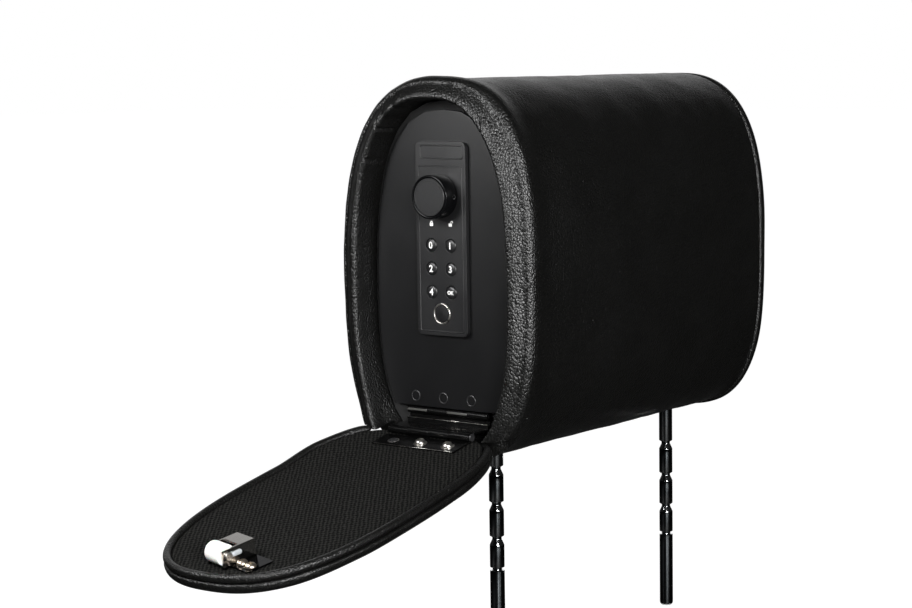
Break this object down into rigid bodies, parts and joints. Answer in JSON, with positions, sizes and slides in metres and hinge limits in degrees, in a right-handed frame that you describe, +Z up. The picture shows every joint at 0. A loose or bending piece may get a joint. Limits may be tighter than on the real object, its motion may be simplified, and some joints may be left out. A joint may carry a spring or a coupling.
{
  "type": "car headrest with built-in safe",
  "caption": "Padded car headrest on notched posts with a steel safe inside: keypad door with knob-driven bolts at one end, and a padded hinged cover with a roller catch.",
  "frame": {"origin": "midway between the centre lines of the two posts, level with the lowest point of the body's padding", "axes": "+X along the safe from its door to its closed end, +Z up, so that -X is the side with the keypad door and the padded cover, and -Y is the side that a head rests on"},
  "size_m": [0.5417, 0.1546, 0.404],
  "materials": {
    "leather": "black grained leather with a soft satin sheen",
    "foam": "soft grey foam, hidden under the leather",
    "dark_steel": "dark powder coat, slightly rough",
    "chrome": "polished chrome",
    "zinc_steel": "bright zinc-plated steel",
    "black_plastic": "fine satin black",
    "white_plastic": "smooth white nylon",
    "smoked_window": "glossy, nearly black",
    "felt": "dark ribbed cloth",
    "circuit_board": "green circuit board, hidden behind the keys",
    "battery_sleeve": "plain grey battery sleeve"
  },
  "bodies": {
    "body": {"leather_wrap": "leather", "foam_wrap": "foam", "end_leather": "leather", "end_foam": "foam", "end_board": "black_plastic", "safe_shell": "dark_steel", "safe_back": "dark_steel", "door_frame": "dark_steel", "compartment_liner": "felt", "post_rail": "dark_steel", "post_sleeve_near": "dark_steel", "post_near": "chrome", "post_sleeve_far": "dark_steel", "post_far": "chrome", "door_hinge_leaf": "dark_steel", "door_hinge_pin": "zinc_steel", "cover_hinge_bracket": "dark_steel", "cover_hinge_pin": "zinc_steel"},
    "door": {"door_plate": "dark_steel", "door_leaf": "dark_steel", "door_rivet_1": "dark_steel", "door_rivet_2": "dark_steel", "door_rivet_3": "dark_steel", "lock_fascia": "black_plastic", "key_board": "circuit_board", "reader_ring": "zinc_steel", "reader_window": "smoked_window", "lock_case": "black_plastic", "battery_pack": "battery_sleeve"},
    "key_0": {"key_0": "black_plastic"},
    "key_1": {"key_1": "black_plastic"},
    "key_2": {"key_2": "black_plastic"},
    "key_3": {"key_3": "black_plastic"},
    "key_4": {"key_4": "black_plastic"},
    "key_ok": {"key_ok": "black_plastic"},
    "knob": {"lock_spindle": "zinc_steel", "knob_body": "black_plastic", "knob_disc": "black_plastic"},
    "bolt_rear": {"bolt_rear": "zinc_steel"},
    "bolt_front": {"bolt_front": "zinc_steel"},
    "cover": {"cover_board": "black_plastic", "cover_lining": "felt", "cover_foam": "foam", "cover_leather": "leather", "cover_piping": "leather", "cover_leaf": "dark_steel", "leaf_screw_1": "zinc_steel", "leaf_screw_2": "zinc_steel", "leaf_screw_3": "zinc_steel", "catch_bracket": "zinc_steel", "catch_screw_1": "zinc_steel", "catch_screw_2": "zinc_steel"},
    "catch_carriage": {"catch_spindle": "zinc_steel"},
    "roller": {"catch_roller": "white_plastic"}
  },
  "joints": [
    {"name": "cover_hinge", "type": "hinge", "parent": "body", "child": "cover", "pos_m": [-0.161, 0, 0.0218], "axis": [0, -1, 0], "range_deg": [-102, 0]},
    {"name": "door_hinge", "type": "hinge", "parent": "body", "child": "door", "pos_m": [-0.14, 0, 0.0323], "axis": [0, -1, 0], "range_deg": [0, 90]},
    {"name": "knob_turn", "type": "hinge", "parent": "door", "child": "knob", "pos_m": [-0.15, 0.0157, 0.1772], "axis": [1, 0, 0], "range_deg": [-90, 0]},
    {"name": "bolt_rear_slide", "type": "slide", "parent": "door", "child": "bolt_rear", "axis": [0, -1, 0], "range_m": [-0.0063, 0]},
    {"name": "bolt_front_slide", "type": "slide", "parent": "door", "child": "bolt_front", "axis": [0, 1, 0], "range_m": [-0.0063, 0]},
    {"name": "key_0_press", "type": "slide", "parent": "door", "child": "key_0", "axis": [1, 0, 0], "range_m": [0, 0.001], "stiffness_N_per_m": 800},
    {"name": "key_1_press", "type": "slide", "parent": "door", "child": "key_1", "axis": [1, 0, 0], "range_m": [0, 0.001], "stiffness_N_per_m": 800},
    {"name": "key_2_press", "type": "slide", "parent": "door", "child": "key_2", "axis": [1, 0, 0], "range_m": [0, 0.001], "stiffness_N_per_m": 800},
    {"name": "key_3_press", "type": "slide", "parent": "door", "child": "key_3", "axis": [1, 0, 0], "range_m": [0, 0.001], "stiffness_N_per_m": 800},
    {"name": "key_4_press", "type": "slide", "parent": "door", "child": "key_4", "axis": [1, 0, 0], "range_m": [0, 0.001], "stiffness_N_per_m": 800},
    {"name": "key_ok_press", "type": "slide", "parent": "door", "child": "key_ok", "axis": [1, 0, 0], "range_m": [0, 0.001], "stiffness_N_per_m": 800},
    {"name": "catch_slide", "type": "slide", "parent": "cover", "child": "catch_carriage", "axis": [-0.9531, 0.225, -0.2026], "range_m": [-0.0025, 0], "stiffness_N_per_m": 1500, "springref_m": 0.002},
    {"name": "roller_spin", "type": "hinge", "parent": "catch_carriage", "child": "roller", "pos_m": [-0.36781, 0.01104, -0.01817], "axis": [0.22, 0.9744, 0.0468], "continuous": true}
  ],
  "couplings": [
    {"joint": "bolt_rear_slide", "follows": "knob_turn", "m_per_rad": 0.004},
    {"joint": "bolt_front_slide", "follows": "knob_turn", "m_per_rad": 0.004}
  ]
}
